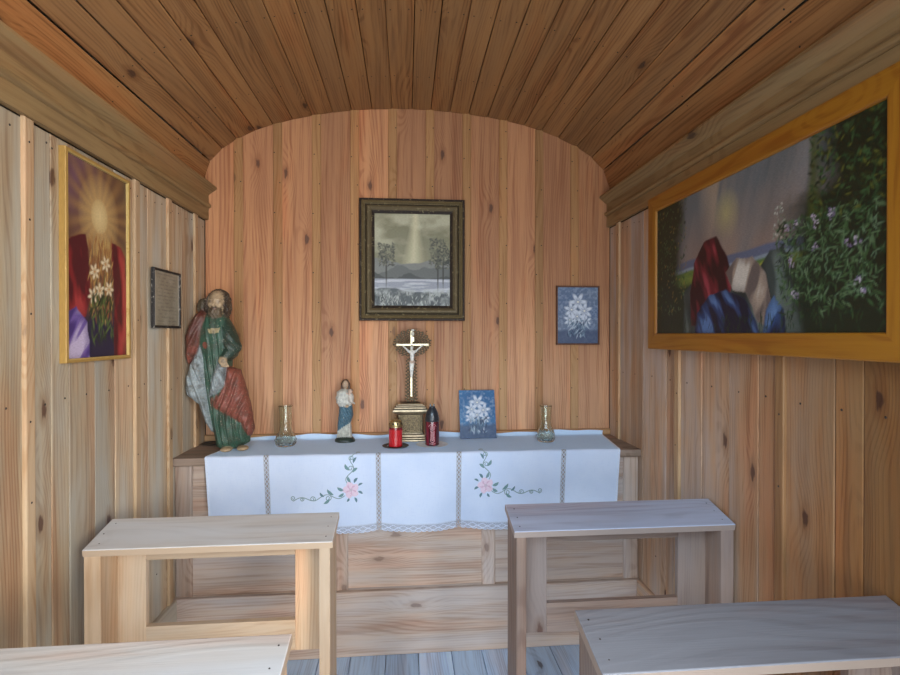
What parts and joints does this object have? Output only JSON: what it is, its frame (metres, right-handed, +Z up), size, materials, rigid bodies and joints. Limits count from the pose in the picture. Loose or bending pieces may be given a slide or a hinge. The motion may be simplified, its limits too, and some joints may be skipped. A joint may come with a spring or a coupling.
{
  "type": "small timber chapel, open at the front",
  "caption": "Small timber wayside chapel, open at the front: a boarded room with a barrel vault, an altar with cloth and figures, pictures and kneeling desks.",
  "frame": {"origin": "on the ground under the middle of the building", "axes": "+Z up, +Y from the open front to the altar wall, +X to the right as one faces the altar"},
  "size_m": [3.1, 3.48, 3.9219],
  "materials": {
    "plinth_stone": "rough dressed, weathered",
    "floor_pine": "worn, greyed boards",
    "side_pine": "bare aged pine, matt",
    "altar_wall_pine": "bare aged pine, warm",
    "altar_pine": "bare aged pine, warm",
    "vault_pine": "dark aged pine",
    "cornice_pine": "bare aged pine",
    "frame_larch": "weathered larch",
    "roof_shingle": "weathered larch shingles",
    "desk_pine": "worn pale pine",
    "altar_linen": "white linen with lace and embroidery",
    "gilt_metal": "aged gilt",
    "pedestal_gilt": "carved, silvered and gilt",
    "painted_carving": "old paint on carved wood",
    "painted_plaster": "painted plaster",
    "vase_glass": "clear moulded glass",
    "candle_red": "translucent red cup, brass lid",
    "lantern_red": "dark red body, black cap",
    "dish_metal": "dark lacquer",
    "dark_gilt_frame": "dark gilt moulded frame round a print",
    "brown_frame": "thin dark frame round a print",
    "orange_frame": "wide varnished frame round a print",
    "gilt_frame": "narrow gilt frame round a print",
    "black_frame": "old black frame round paper",
    "blue_print": "print on board"
  },
  "bodies": {
    "root": {"plinth": "plinth_stone", "floor_boards": "floor_pine", "left_wall": "side_pine", "right_wall": "side_pine", "back_wall": "altar_wall_pine", "front_gable": "frame_larch", "left_front_post": "frame_larch", "right_front_post": "frame_larch", "left_cornice": "cornice_pine", "right_cornice": "cornice_pine", "left_skirting": "side_pine", "right_skirting": "side_pine", "vault_ceiling": "vault_pine", "roof_beams": "frame_larch", "left_roof": "roof_shingle", "right_roof": "roof_shingle", "ridge_cap": "frame_larch", "bargeboards": "frame_larch", "altar_base_board": "altar_pine", "altar_front": "altar_pine", "altar_top": "altar_pine", "altar_cloth": "altar_linen", "crucifix_pedestal": "pedestal_gilt", "crucifix": "gilt_metal", "saint_statue": "painted_carving", "small_statue": "painted_plaster", "left_vase": "vase_glass", "right_vase": "vase_glass", "red_candle": "candle_red", "red_lantern": "lantern_red", "altar_dishes": "dish_metal", "centre_picture": "dark_gilt_frame", "small_right_picture": "brown_frame", "right_picture": "orange_frame", "left_tall_picture": "gilt_frame", "left_small_picture": "black_frame", "leaning_picture": "blue_print", "left_desk_1_top": "desk_pine", "left_desk_1_frame": "desk_pine", "right_desk_1_top": "desk_pine", "right_desk_1_frame": "desk_pine", "left_desk_2_top": "desk_pine", "left_desk_2_frame": "desk_pine", "right_desk_2_top": "desk_pine", "right_desk_2_frame": "desk_pine"}
  },
  "joints": []
}
